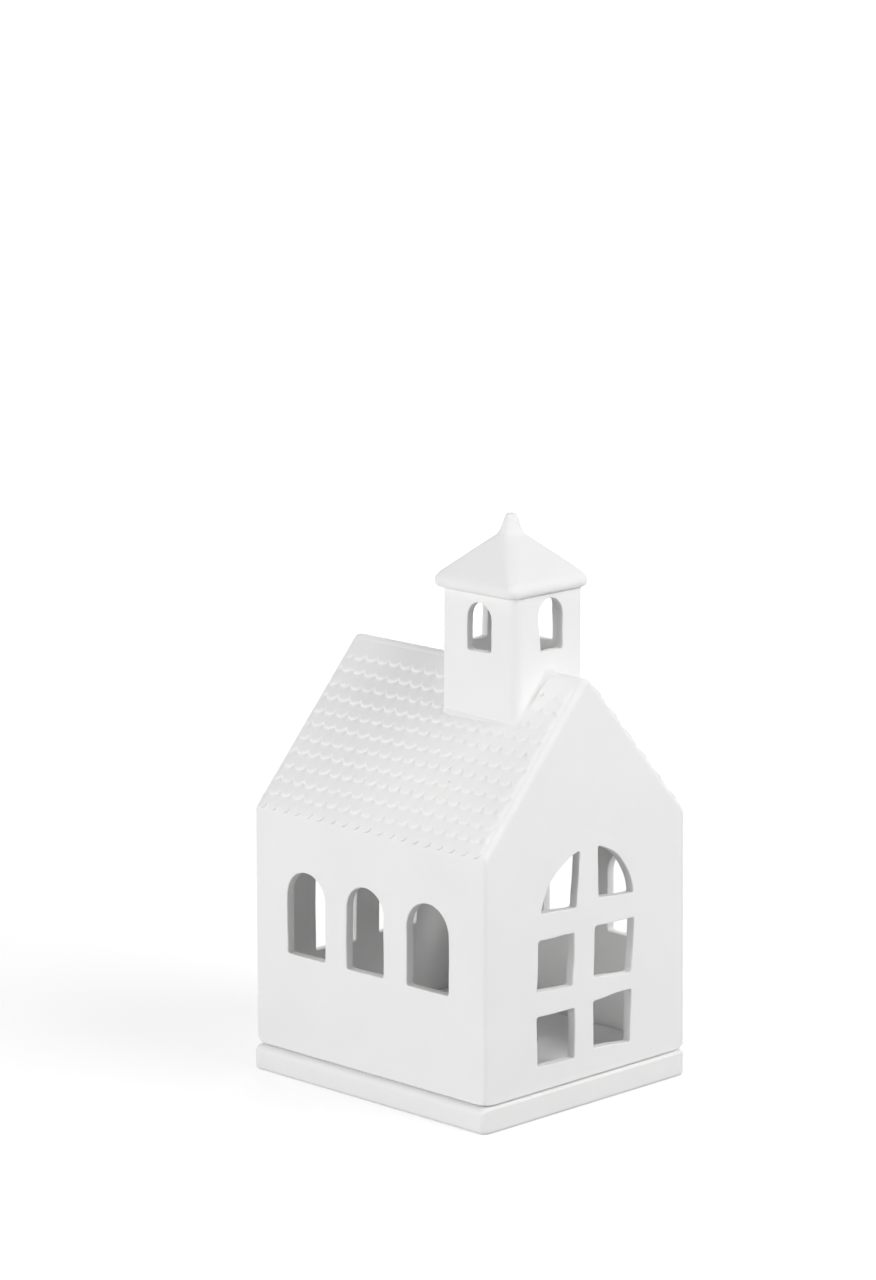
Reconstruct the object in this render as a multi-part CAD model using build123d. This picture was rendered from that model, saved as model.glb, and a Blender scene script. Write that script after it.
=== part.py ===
from build123d import *
import math
import os

# A porcelain light house: a small chapel that lifts off its base plate, with a tealight standing inside it.
# Millimetres, +Z up. The front gable faces -Y, and the origin is the middle of the base plate's underside.

# Base plate
BASE_THICKNESS = 8.0
BASE_OVERHANG = 0.9
BASE_CORNER_RADIUS = 1.8
BASE_TOP_RADIUS = 1.2
BASE_BOTTOM_RADIUS = 1.5
PLATFORM_HEIGHT = 1.5
PLATFORM_CLEARANCE = 1.0
PLATFORM_CORNER_RADIUS = 2.0
PLATFORM_TOP_RADIUS = 0.5
WELL_FLOOR = 3.0
WELL_CLEARANCE = 0.8

# House walls and roof, with heights above the foot of the house
HOUSE_WIDTH = 80.0
HOUSE_DEPTH = 90.2
EAVE_HEIGHT = 69.4
RIDGE_HEIGHT = 113.3
WALL = 2.8
EDGE_RADIUS = 1.0
EAVE_RADIUS = 1.5
RIDGE_RADIUS = 1.5
FOOT_RADIUS = 0.8

# Roof tiles: courses of round-ended tiles, measured down the slope from the ridge
TILE_COURSES = 12
TILES_PER_COURSE = 19
FIRST_TILE_TIP = 8.4
RAKE_BORDER = 1.2
TILE_ROUND = 1.5
TILE_TAPER = 6.2
TILE_LIP = 0.5
TILE_SUNK = 0.05
TILE_THICKNESS = 1.0

# Side windows, three in each side wall
SIDE_WINDOWS = 3
SIDE_WINDOW_WIDTH = 15.2
SIDE_WINDOW_SILL = 28.4
SIDE_WINDOW_TOP = 52.8
SIDE_WINDOW_PITCH = 23.8
LEFT_WINDOW_SHIFT = 1.0
RIGHT_WINDOW_SHIFT = -1.1

# Front window: one arch divided by a mullion and two bars
FRONT_WINDOW_WIDTH = 38.5
FRONT_WINDOW_SILL = 6.5
FRONT_WINDOW_TOP = 65.2
FRONT_MULLION_WIDTH = 7.8
FRONT_MULLION_SHIFT = -0.5
FRONT_BAR_HEIGHTS = (24.2, 45.9)
FRONT_BAR_WIDTH = 6.9

# Back window: two tall lights under one arch
BACK_WINDOW_WIDTH = 41.0
BACK_WINDOW_SILL = 22.4
BACK_WINDOW_TOP = 66.0
BACK_WINDOW_SHIFT = 1.2
BACK_MULLION_WIDTH = 7.7
PANE_CORNER_RADIUS = 0.8

# Bell tower, with heights above the ridge
TOWER_SIDE = 26.8
TOWER_CENTRE = -16.8
TOWER_RISE = 20.9
TOWER_WALL = 2.4
TOWER_EDGE_RADIUS = 1.0
TOWER_WINDOW_WIDTH = 9.4
TOWER_WINDOW_SILL = 5.5
TOWER_WINDOW_TOP = 19.5
SLIP_BEAD = 1.0
TILE_GAP = 0.3
VENT_LEDGE = 3.0

# Tower cap
CAP_OVERHANG = 2.2
CAP_LIP_HEIGHT = 3.6
CAP_LIP_RADIUS = 1.6
CAP_CORNER_RADIUS = 1.8
CAP_PITCH = 43.0
CAP_WALL = 2.4
FINIAL_RADIUS = 4.1
FINIAL_TOP_RADIUS = 2.1
FINIAL_HEIGHT = 6.0
FINIAL_SUNK = 3.2

# Tealight
TEALIGHT_DIAMETER = 38.0
CUP_HEIGHT = 14.0
CUP_WALL = 0.4
CUP_RIM = 0.8
WAX_DEPTH = 11.6
WAX_CLEARANCE = 0.1
WICK_DIAMETER = 1.6
WICK_STANDOUT = 6.0
CLIP_DIAMETER = 12.0
CLIP_THICKNESS = 0.4
CLIP_NECK_DIAMETER = 3.2
CLIP_NECK_HEIGHT = 4.0
CLIP_CLEARANCE = 0.05

# Values that follow from the sizes above
PLATFORM_TOP = BASE_THICKNESS + PLATFORM_HEIGHT
HOUSE_FOOT = BASE_THICKNESS
RIDGE_Z = HOUSE_FOOT + RIDGE_HEIGHT
ROOF_PITCH = math.atan2(RIDGE_HEIGHT - EAVE_HEIGHT, HOUSE_WIDTH / 2)
SLOPE_LENGTH = HOUSE_WIDTH / 2 / math.cos(ROOF_PITCH)
COURSE_PITCH = (SLOPE_LENGTH - FIRST_TILE_TIP) / (TILE_COURSES - 1)
COURSE_LENGTH = HOUSE_DEPTH - 2 * RAKE_BORDER
TILE_WIDTH = COURSE_LENGTH / TILES_PER_COURSE
TILE_RADIUS = TILE_WIDTH**2 / (8 * TILE_ROUND) + TILE_ROUND / 2
TOWER_FOOT = RIDGE_Z - TOWER_SIDE * math.tan(ROOF_PITCH)
TOWER_TOP = RIDGE_Z + TOWER_RISE
TOWER_INSIDE = TOWER_SIDE - 2 * TOWER_WALL
CAP_SIDE = TOWER_SIDE + 2 * CAP_OVERHANG
CAP_SLOPE = math.tan(math.radians(CAP_PITCH))
CAP_APEX = TOWER_TOP + CAP_LIP_HEIGHT + CAP_SIDE / 2 * CAP_SLOPE
CUP_FLOOR = WELL_FLOOR + CUP_WALL
CUP_OUTSIDE = TEALIGHT_DIAMETER / 2 - CUP_RIM / 2
CUP_INSIDE = CUP_OUTSIDE - CUP_WALL
CLIP_TOP = CUP_FLOOR + CLIP_THICKNESS
NECK_TOP = CLIP_TOP + CLIP_NECK_HEIGHT
WAX_TOP = CUP_FLOOR + WAX_DEPTH
TOUCH = 0.01

# Planes that heights above the foot of the house, or above the ridge, are drawn on
GABLE_PLANE = Plane((0, 0, HOUSE_FOOT), x_dir=(1, 0, 0), z_dir=(0, -1, 0))
SIDE_PLANE = Plane((0, 0, HOUSE_FOOT), x_dir=(0, 1, 0), z_dir=(1, 0, 0))
TOWER_FRONT = Plane((0, TOWER_CENTRE, RIDGE_Z), x_dir=(1, 0, 0), z_dir=(0, -1, 0))
TOWER_SIDEWAYS = Plane((0, TOWER_CENTRE, RIDGE_Z), x_dir=(0, 1, 0), z_dir=(1, 0, 0))
ROOF_NORMAL = (-math.sin(ROOF_PITCH), 0, math.cos(ROOF_PITCH))
ROOF_PLANE = Plane((0, 0, RIDGE_Z), x_dir=(0, 1, 0), z_dir=ROOF_NORMAL)


def edges_at(shape, axis, value):
    """The edges whose middle lies at this place along an axis."""
    return shape.edges().filter_by_position(axis, value - TOUCH, value + TOUCH)


def arch(width, sill, top):
    """A round-headed opening, drawn with its middle at x = 0."""
    spring = top - width / 2
    opening = Pos(0, (sill + spring) / 2) * Rectangle(width, spring - sill)
    return opening + Pos(0, spring) * Circle(width / 2)


def upright(radius, low, high):
    """A round post on the tealight's axis, between two heights."""
    return Pos(0, 0, (low + high) / 2) * Cylinder(radius, high - low)


def rounded_block(width, depth, low, high, corner_radius):
    """An upright block between two heights, with its four upright edges rounded."""
    return Pos(0, 0, low) * extrude(RectangleRounded(width, depth, corner_radius), high - low)


def tower_block(side, low, high, corner_radius):
    """A square rounded block over the tower's place."""
    return Pos(0, TOWER_CENTRE, 0) * rounded_block(side, side, low, high, corner_radius)


def tower_shaft(side):
    """A long square cutter down the tower's middle."""
    return Pos(0, TOWER_CENTRE, RIDGE_Z) * Box(side, side, 2 * RIDGE_HEIGHT)


def base_plate():
    """The slab under the house, with a platform inside the walls and a well for the tealight."""
    width = HOUSE_WIDTH + 2 * BASE_OVERHANG
    depth = HOUSE_DEPTH + 2 * BASE_OVERHANG
    slab = rounded_block(width, depth, 0, BASE_THICKNESS, BASE_CORNER_RADIUS)
    slab = fillet(edges_at(slab, Axis.Z, BASE_THICKNESS), BASE_TOP_RADIUS)
    slab = fillet(edges_at(slab, Axis.Z, 0), BASE_BOTTOM_RADIUS)
    inset = 2 * (WALL + PLATFORM_CLEARANCE)
    width = HOUSE_WIDTH - inset
    depth = HOUSE_DEPTH - inset
    platform = rounded_block(width, depth, BASE_THICKNESS, PLATFORM_TOP, PLATFORM_CORNER_RADIUS)
    platform = fillet(edges_at(platform, Axis.Z, PLATFORM_TOP), PLATFORM_TOP_RADIUS)
    return slab + platform - upright(TEALIGHT_DIAMETER / 2 + WELL_CLEARANCE, WELL_FLOOR, PLATFORM_TOP)


def house_block():
    """The outside of the house as a plain solid with rounded edges and no tiles."""
    half = HOUSE_WIDTH / 2
    corners = [(-half, 0), (half, 0), (half, EAVE_HEIGHT), (0, RIDGE_HEIGHT), (-half, EAVE_HEIGHT)]
    gable = make_face(Polyline(*corners, close=True))
    gable = fillet(gable.vertices().group_by(Axis.Y)[1], EAVE_RADIUS)
    gable = fillet(gable.vertices().sort_by(Axis.Y)[-1], RIDGE_RADIUS)
    block = GABLE_PLANE.location * extrude(gable, HOUSE_DEPTH / 2, both=True)
    gable_edges = edges_at(block, Axis.Y, -HOUSE_DEPTH / 2) + edges_at(block, Axis.Y, HOUSE_DEPTH / 2)
    block = fillet(gable_edges - edges_at(block, Axis.Z, HOUSE_FOOT), EDGE_RADIUS)
    return fillet(edges_at(block, Axis.Z, HOUSE_FOOT), FOOT_RADIUS)


def house_cavity():
    """The hollow inside the walls and roof, open underneath."""
    half = HOUSE_WIDTH / 2 - WALL
    peak = RIDGE_HEIGHT - WALL / math.cos(ROOF_PITCH)
    eave = peak - half * math.tan(ROOF_PITCH)
    corners = [(-half, -WALL), (half, -WALL), (half, eave), (0, peak), (-half, eave)]
    gable = make_face(Polyline(*corners, close=True))
    return GABLE_PLANE.location * extrude(gable, HOUSE_DEPTH / 2 - WALL, both=True)


def tile_drop(offset):
    """How far the round end of a tile reaches past its corners, at an offset from the tile's middle."""
    return math.sqrt(TILE_RADIUS**2 - offset**2) - (TILE_RADIUS - TILE_ROUND)


def course_outline(staggered):
    """One course of tiles lying flat: along the ridge in x, and from its upper edge to its tips in y."""
    end = COURSE_LENGTH / 2
    corners_y = TILE_TAPER - TILE_ROUND
    low_y = TILE_TAPER if staggered else corners_y
    edges = [Line((-end, low_y), (-end, 0)), Line((-end, 0), (end, 0)), Line((end, 0), (end, low_y))]
    whole_tiles = TILES_PER_COURSE - 1 if staggered else TILES_PER_COURSE
    for i in range(whole_tiles):
        left = (i - whole_tiles / 2) * TILE_WIDTH
        middle = (left + TILE_WIDTH / 2, TILE_TAPER)
        edges.append(ThreePointArc((left, corners_y), middle, (left + TILE_WIDTH, corners_y)))
    if staggered:
        halfway = corners_y + tile_drop(TILE_WIDTH / 4)
        for side in (-1, 1):
            middle = (side * (end - TILE_WIDTH / 4), halfway)
            inner = (side * (end - TILE_WIDTH / 2), corners_y)
            edges.append(ThreePointArc((side * end, TILE_TAPER), middle, inner))
    return make_face(edges)


def tile_course(number):
    """One course on the left slope: a tilted plate whose upper edge is sunk in the roof."""
    plate = extrude(course_outline(number % 2 == 1), TILE_THICKNESS, dir=(0, 0, -1))
    tip = FIRST_TILE_TIP + number * COURSE_PITCH
    tilt = math.degrees(math.asin((TILE_LIP + TILE_SUNK) / TILE_TAPER))
    return ROOF_PLANE.location * Pos(0, tip - TILE_TAPER, -TILE_SUNK) * Rot(X=tilt) * plate


def tile_relief():
    """Every course on both slopes, left out where the tower stands."""
    tower_place = tower_shaft(TOWER_SIDE + 2 * (SLIP_BEAD + TILE_GAP))
    left = [tile_course(number) - tower_place for number in range(TILE_COURSES)]
    return left + [mirror(course, about=Plane.YZ) for course in left]


def side_windows():
    """Cutters through the left and the right wall."""
    opening = arch(SIDE_WINDOW_WIDTH, SIDE_WINDOW_SILL, SIDE_WINDOW_TOP)
    opening = fillet(opening.vertices().group_by(Axis.Y)[0], PANE_CORNER_RADIUS)
    cutters = []
    for side, shift in ((-1, LEFT_WINDOW_SHIFT), (1, RIGHT_WINDOW_SHIFT)):
        cutter = extrude(opening, side * HOUSE_WIDTH)
        for i in range(SIDE_WINDOWS):
            place = shift + (i - (SIDE_WINDOWS - 1) / 2) * SIDE_WINDOW_PITCH
            cutters.append(SIDE_PLANE.location * Pos(place, 0) * cutter)
    return cutters


def front_window():
    """Cutters for the panes of the front window."""
    panes = arch(FRONT_WINDOW_WIDTH, FRONT_WINDOW_SILL, FRONT_WINDOW_TOP)
    panes -= Pos(FRONT_MULLION_SHIFT, 0) * Rectangle(FRONT_MULLION_WIDTH, 2 * RIDGE_HEIGHT)
    for height in FRONT_BAR_HEIGHTS:
        panes -= Pos(0, height) * Rectangle(HOUSE_WIDTH, FRONT_BAR_WIDTH)
    panes = fillet(panes.vertices(), PANE_CORNER_RADIUS)
    return GABLE_PLANE.location * Pos(0, 0, HOUSE_DEPTH / 2) * extrude(panes, 2 * WALL, both=True)


def back_window():
    """Cutters for the two lights of the back window."""
    lights = arch(BACK_WINDOW_WIDTH, BACK_WINDOW_SILL, BACK_WINDOW_TOP)
    lights -= Rectangle(BACK_MULLION_WIDTH, 2 * RIDGE_HEIGHT)
    lights = fillet(lights.vertices().group_by(Axis.Y)[0], PANE_CORNER_RADIUS)
    place = Pos(BACK_WINDOW_SHIFT, 0, -HOUSE_DEPTH / 2)
    return GABLE_PLANE.location * place * extrude(lights, 2 * WALL, both=True)


def house_shell():
    """The hollow house with its roof tiles, its windows and a vent into the tower."""
    shell = house_block() + tile_relief()
    vent = tower_shaft(TOWER_INSIDE - 2 * VENT_LEDGE)
    return shell - [house_cavity(), *side_windows(), front_window(), back_window(), vent]


def bell_tower():
    """The square tower, cut to sit astride the roof, with a bead of slip round its foot."""
    roof = house_block()
    walls = tower_block(TOWER_SIDE, TOWER_FOOT, TOWER_TOP, TOWER_EDGE_RADIUS)
    bead = tower_block(TOWER_SIDE + 2 * SLIP_BEAD, TOWER_FOOT, TOWER_TOP, TOWER_EDGE_RADIUS + SLIP_BEAD)
    bead &= Pos(0, 0, SLIP_BEAD) * roof
    window = extrude(arch(TOWER_WINDOW_WIDTH, TOWER_WINDOW_SILL, TOWER_WINDOW_TOP), TOWER_SIDE, both=True)
    windows = [TOWER_FRONT.location * window, TOWER_SIDEWAYS.location * window]
    return walls + bead - [roof, tower_shaft(TOWER_INSIDE), *windows]


def pyramid(half, base_z, apex_z):
    """A square pyramid over the tower."""
    point = Pos(0, 0, apex_z - base_z) * Rectangle(TOUCH, TOUCH)
    return Pos(0, TOWER_CENTRE, base_z) * loft([Rectangle(2 * half, 2 * half), point])


def finial():
    """The small round-topped point on the cap."""
    foot = CAP_APEX - FINIAL_SUNK
    top = foot + FINIAL_HEIGHT
    side = Line((FINIAL_RADIUS, foot), (FINIAL_TOP_RADIUS, top - FINIAL_TOP_RADIUS))
    crown = CenterArc((0, top - FINIAL_TOP_RADIUS), FINIAL_TOP_RADIUS, 0, 90)
    axis = Line((0, top), (0, foot))
    floor = Line((0, foot), (FINIAL_RADIUS, foot))
    profile = Plane.XZ * make_face([side, crown, axis, floor])
    return Pos(0, TOWER_CENTRE, 0) * revolve(profile, Axis.Z)


def tower_cap():
    """The hollow pyramid on the tower, with a rounded lip for its eave."""
    lip_top = TOWER_TOP + CAP_LIP_HEIGHT
    lip = tower_block(CAP_SIDE, TOWER_TOP, lip_top, CAP_CORNER_RADIUS)
    lip = fillet(edges_at(lip, Axis.Z, TOWER_TOP), CAP_LIP_RADIUS)
    roof = pyramid(CAP_SIDE / 2, lip_top, CAP_APEX)
    roof &= tower_block(CAP_SIDE, lip_top, CAP_APEX, CAP_CORNER_RADIUS)
    inner_apex = CAP_APEX - CAP_WALL / math.cos(math.radians(CAP_PITCH))
    hollow = pyramid((inner_apex - TOWER_TOP) / CAP_SLOPE, TOWER_TOP, inner_apex)
    hollow &= tower_shaft(TOWER_INSIDE)
    return lip + roof + finial() - hollow


def tealight_cup():
    """The thin round cup, with a rolled rim."""
    top = WELL_FLOOR + CUP_HEIGHT
    rim = upright(TEALIGHT_DIAMETER / 2, top - CUP_RIM, top)
    rim = fillet(rim.edges(), CUP_RIM / 2 - TOUCH)
    return upright(CUP_OUTSIDE, WELL_FLOOR, top) + rim - upright(CUP_INSIDE, CUP_FLOOR, top)


def wick_clip():
    """The metal foot of the wick: a disc on the cup's floor with a short neck."""
    disc = upright(CLIP_DIAMETER / 2, CUP_FLOOR, CLIP_TOP)
    neck = upright(CLIP_NECK_DIAMETER / 2, CUP_FLOOR, NECK_TOP)
    return disc + neck - upright(WICK_DIAMETER / 2 + CLIP_CLEARANCE, CLIP_TOP, NECK_TOP)


def tealight_wick():
    """The wick, from the clip's disc to above the wax."""
    return upright(WICK_DIAMETER / 2, CLIP_TOP, WAX_TOP + WICK_STANDOUT)


def tealight_wax():
    """The wax round the clip and the wick."""
    wax = upright(CUP_INSIDE - WAX_CLEARANCE, CUP_FLOOR, WAX_TOP)
    disc_room = upright(CLIP_DIAMETER / 2 + WAX_CLEARANCE, CUP_FLOOR, CLIP_TOP + WAX_CLEARANCE)
    neck_room = upright(CLIP_NECK_DIAMETER / 2 + WAX_CLEARANCE, CUP_FLOOR, NECK_TOP + WAX_CLEARANCE)
    wick_room = upright(WICK_DIAMETER / 2 + CLIP_CLEARANCE, CUP_FLOOR, WAX_TOP)
    return wax - [disc_room, neck_room, wick_room]


PIECES = {
    "base_plate": base_plate,
    "house_shell": house_shell,
    "bell_tower": bell_tower,
    "tower_cap": tower_cap,
    "tealight_cup": tealight_cup,
    "tealight_wax": tealight_wax,
    "tealight_wick": tealight_wick,
    "wick_clip": wick_clip,
}

os.makedirs("parts", exist_ok=True)
for name, make in PIECES.items():
    piece = make()
    piece.label = name
    export_step(piece, f"parts/{name}.step")
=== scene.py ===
"""The looks of a small white porcelain chapel for a tealight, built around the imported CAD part.

Lengths are in millimetres in the part's own frame, and turn into metres where a mesh is made.
Heights on the house and its tower are measured from the foot of the CAD's house.
"""

import math
import random

import bmesh
import bpy
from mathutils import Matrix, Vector

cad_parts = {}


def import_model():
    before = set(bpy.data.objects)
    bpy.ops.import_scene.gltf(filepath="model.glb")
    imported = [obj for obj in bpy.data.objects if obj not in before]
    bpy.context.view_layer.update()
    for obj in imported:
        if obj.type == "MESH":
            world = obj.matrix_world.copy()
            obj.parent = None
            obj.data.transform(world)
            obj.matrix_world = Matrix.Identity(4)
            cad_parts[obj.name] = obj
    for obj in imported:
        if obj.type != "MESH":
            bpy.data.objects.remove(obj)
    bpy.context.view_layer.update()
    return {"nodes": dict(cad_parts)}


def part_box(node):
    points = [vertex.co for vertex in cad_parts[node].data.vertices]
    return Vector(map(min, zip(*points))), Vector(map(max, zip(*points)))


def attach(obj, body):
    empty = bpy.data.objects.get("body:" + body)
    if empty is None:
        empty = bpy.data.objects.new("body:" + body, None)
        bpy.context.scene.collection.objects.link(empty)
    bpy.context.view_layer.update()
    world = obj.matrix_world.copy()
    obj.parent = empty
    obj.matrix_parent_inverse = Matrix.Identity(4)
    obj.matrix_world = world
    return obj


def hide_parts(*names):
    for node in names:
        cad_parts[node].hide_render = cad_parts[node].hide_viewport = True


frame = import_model()

MM = 0.001
RIGHT_ANGLE = math.radians(90)
# Points of a mesh that are closer than this, in metres, are one point
SAME_PLACE = 1e-7
# A square's corners, from the front left one round, and four sides that stay where they are
SQUARE = ((-1, -1), (1, -1), (1, 1), (-1, 1))
NO_INSETS = (0, 0, 0, 0)
SEED = 5
rng = random.Random(SEED)


def node_box(node):
    """The lowest and highest corners of a CAD node, in millimetres."""
    low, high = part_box(node)
    return low / MM, high / MM


HOUSE_LOW, HOUSE_HIGH = node_box("house_shell")
TOWER_LOW, TOWER_HIGH = node_box("bell_tower")
CAP_LOW, CAP_HIGH = node_box("tower_cap")
_, BASE_HIGH = node_box("base_plate")
CUP_LOW, CUP_HIGH = node_box("tealight_cup")
WAX_LOW, WAX_HIGH = node_box("tealight_wax")
WICK_LOW, WICK_HIGH = node_box("tealight_wick")

# House
FOOT = HOUSE_LOW.z
HALF_WIDTH = 40.0
HALF_DEPTH = HOUSE_HIGH.y
EAVE = 69.4
RIDGE = 113.6
WALL = 2.8
EAVE_RADIUS = 1.6
RIDGE_RADIUS = 2.2
CORNER_RADIUS = 1.0
RAKE_RADIUS = 1.7
BACK_RAKE_RADIUS = 2.3
# A rounded edge of the block: how square it is (2 is a circle), its steps, and how they crowd at its end
EDGE_SQUARENESS = 2.2
EDGE_STEPS = 9
EDGE_CROWDING = 1.5
# The smallest radius of any corner
BARE_RADIUS = 0.3
INSIDE_RADIUS = 2.0
CAVITY_SINK = 2.0
PITCH = math.atan2(RIDGE - EAVE, HALF_WIDTH)
SLOPE_LENGTH = HALF_WIDTH / math.cos(PITCH)
EAVE_TURN = RIGHT_ANGLE - PITCH
EAVE_START = SLOPE_LENGTH - EAVE_RADIUS * math.tan(EAVE_TURN / 2)
EAVE_END = EAVE_START + EAVE_RADIUS * EAVE_TURN
# The rim of the base lies a little under the CAD's foot of the house, and the walls reach down to it
RIM_SINK = 0.6
BASE_RIM = FOOT - RIM_SINK
# The worn foot of the walls: how far in, how round at the corners and how high over the rim
FOOT_WEAR = ((-0.03, 1.0, 0.79), (0.08, 2.4, 0.46), (0.3, 4.2, 0.34), (2.2, 4.9, 0.28), (2.6, 5.0, -0.05))
# How much more the foot is worn at the front left, front right, back right and back left corner
CORNER_WEAR = (0.0, 1.0, 1.0, 1.6)
CORNER_WEAR_REACH = 2.2
# How much more it is worn along the left wall
LEFT_WEAR = 0.55
LEFT_WEAR_REACH = 4.0
SIDE_PIECES = 32
# How far the cutter for the foot reaches out from the walls and under the rim
FOOT_CUT_OUTSIDE = 2.0
FOOT_CUT_UNDER = 1.0
RIGHT_WALL_LEAN = 0.8

# Roof tiles, measured down the slope from the ridge
COURSES = 12
TILES = 19
FIRST_TIP = 9.5
EAVE_OVERLAP = 0.2
LAST_TIP = EAVE_END + EAVE_OVERLAP
COURSE_PITCH = (LAST_TIP - FIRST_TIP) / (COURSES - 1)
SHEET_BORDER = 1.2
TILE_HALF = HALF_DEPTH - SHEET_BORDER
TILE_WIDTH = 2 * TILE_HALF / TILES
SPARE_TILES = 4
TILE_ROUND = 1.7
TILE_ARC = 0.94
TILE_TAPER = 6.2
TILE_BED = 0.2
TILE_LIP = 0.52
EAVE_LIP_SHARE = 0.75
TILE_CROWN = 0.1
TILE_START = 2.6
TILE_START_RISE = 0.4
TILE_SINK = 0.15
TILE_UNDERSIDE = 0.9
EAVE_SINK = 0.6
EAVE_SHARPNESS = 0.5
PIT_DEPTH = 0.42
PIT_WIDTH = 0.55
PIT_PLACE = 0.35
COLUMNS_PER_TILE = 12
TIP_JITTER = 0.2
LIP_JITTER = 0.12
COURSE_WAVE = 0.15
WAVE_LENGTH = 80
# How far the first and the last course of each slope are moved along the ridge
LEFT_SHIFT = (0.7, -1.3)
RIGHT_SHIFT = (TILE_WIDTH / 2, TILE_WIDTH / 2)
# How far from a rake the tiles begin, and over what length they rise
RAKE_BORDER = (1.2, 1.8)
# The same at the right slope's front rake, which the tiles reach
RIGHT_FRONT_BORDER = (0.2, 0.8)
# Over what length they rise round the tower, and how far in front of it they end
TOWER_FADE = 0.7
TOWER_CLEARANCE = 1.3
# How far past the lip line each row of points lies, and the share of the step left there
LIP_PROFILE = (
    (-0.9, 1.0), (-0.55, 0.97), (-0.3, 0.87), (-0.1, 0.7),
    (0.06, 0.47), (0.22, 0.24), (0.42, 0.08), (0.7, 0.0),
)
FACE_ROWS = (0.33, 0.67)

# Openings: a window's middle, width, sill and top, a pane's corners, and how far a side bulges out
LEFT_WINDOWS = ((24.6, 15.0, 28.4, 52.8), (1.3, 14.5, 28.4, 52.8), (-23.1, 16.1, 28.4, 52.8))
RIGHT_WINDOWS = ((23.5, 15.2, 28.4, 52.8), (-0.8, 15.0, 28.4, 52.8), (-25.9, 15.2, 29.4, 54.0))
STRAIGHT = (0, 0, 0, 0)
FRONT_BULGE = 3.3
BACK_BULGE = 4.0
FRONT_PANES = (
    (((-19.2, 6.8), (-4.4, 6.2), (-4.5, 20.7), (-19.5, 20.9)), STRAIGHT),
    (((3.4, 7.7), (18.1, 6.3), (18.6, 21.6), (3.0, 21.1)), STRAIGHT),
    (((-19.6, 28.1), (-5.3, 27.1), (-4.6, 42.2), (-18.9, 42.3)), STRAIGHT),
    (((3.1, 27.7), (18.4, 26.3), (19.6, 42.0), (3.7, 42.3)), STRAIGHT),
    (((-18.1, 49.9), (-4.0, 49.1), (-2.7, 64.9)), (0, 0, FRONT_BULGE)),
    (((4.6, 65.1), (5.0, 50.1), (19.1, 49.1)), (0, 0, FRONT_BULGE)),
)
BACK_LIGHTS = (
    (((-19.0, 23.0), (-2.9, 22.7), (-2.9, 64.9), (-19.0, 48.0)), (0, 0, BACK_BULGE, 0)),
    (((6.4, 23.4), (21.6, 23.2), (21.6, 47.8), (6.4, 64.5)), (0, 0, BACK_BULGE, 0)),
)
CUT_STEP = 0.5
SOFTEN_PASSES = 2
CUT_WOBBLE = 0.07
CUT_WOBBLE_SHARES = (0.2, 1.0)
CUT_WAVES = (2, 3, 5)
OPENING_OUTER_RADIUS = 0.35
OPENING_INNER_RADIUS = 0.3
OPENING_STEEPEST = math.radians(75)
OPENING_STEPS = 4
FLANGE = 0.2

# Tower and its roof
TOWER_HALF_X = 13.05
TOWER_HALF_Y = 13.9
TOWER_Y = -16.5
TOWER_TOP = TOWER_HIGH.z
TOWER_WALL = 2.4
TOWER_EDGE_RADIUS = 0.6
TOWER_SOFT_EDGE_RADIUS = 2.8
TOWER_STEP = 0.8
# Each tower window's wall, middle, width, sill, top and how far its first lower corner is drawn in
TOWER_WINDOWS = (
    ("left", 0.1, 9.2, 118.1, 131.5, 0.2), ("right", -0.3, 9.2, 118.4, 132.8, 0.0),
    ("front", 0.65, 9.5, 118.2, 133.0, 1.0), ("back", -2.4, 9.2, 118.4, 132.8, 0.0),
)
# The slip at the tower's foot. At the sides: shares of its rise over the roof and of its width
SIDE_FOOT = (
    (-0.6, 1.0), (0.0, 1.0), (0.2, 0.9), (0.45, 0.65), (0.7, 0.36), (0.9, 0.13), (1.0, 0.02), (1.25, 0.0),
)
SIDE_FOOT_WIDTH = 1.6
SIDE_FOOT_RISE = 0.65
SIDE_FOOT_LEAN = 0.5
SIDE_FOOT_FADE = 3.0
# In front, as heights over the roof and shares of the width: the bead at the ridge, the fillet beside it
FRONT_BEAD = (
    (-0.9, 1.0), (0.0, 1.0), (0.22, 0.96), (0.42, 0.86), (0.68, 0.65), (1.0, 0.38), (1.5, 0.13), (2.1, 0.0),
)
FRONT_FILLET = (
    (-0.9, 1.0), (0.0, 1.0), (0.06, 0.8), (0.16, 0.58), (0.34, 0.36), (0.65, 0.17), (1.2, 0.05), (2.1, 0.0),
)
FRONT_BEAD_SPREAD = 6.0
FRONT_FOOT_WIDTH = 0.8
FRONT_FOOT_AT_RIDGE = 2.7
FRONT_FOOT_SPREAD = 3.6
# The groove before the slip: half its length, its radius, and the squared share of that at its ends
GROOVE_HALF = 8.5
GROOVE_RADIUS = 0.18
GROOVE_END = 0.02
GROOVE_STEPS = 40
GROOVE_POINTS = 12
VENT_HALF = 8.0
VENT_CORNER = 1.5
CAP_PITCH = math.radians(43)
CAP_LIP = 3.6
CAP_HALF = CAP_HIGH.x
# How far the cap sits off the middle, to the left and to the back
CAP_SHIFT = 0.45
CAP_MIDDLE = Vector((-CAP_SHIFT, (CAP_LOW.y + CAP_HIGH.y) / 2 + CAP_SHIFT))
CAP_HOLLOW_HALF = 10.6
# How much rounder the front left hip is than the others, and over what height over the lip it becomes so
CAP_SOFT_HIP = 1.7
CAP_HIP_RISE = 5.0
CAP_CORNER_STEPS = 8

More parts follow.
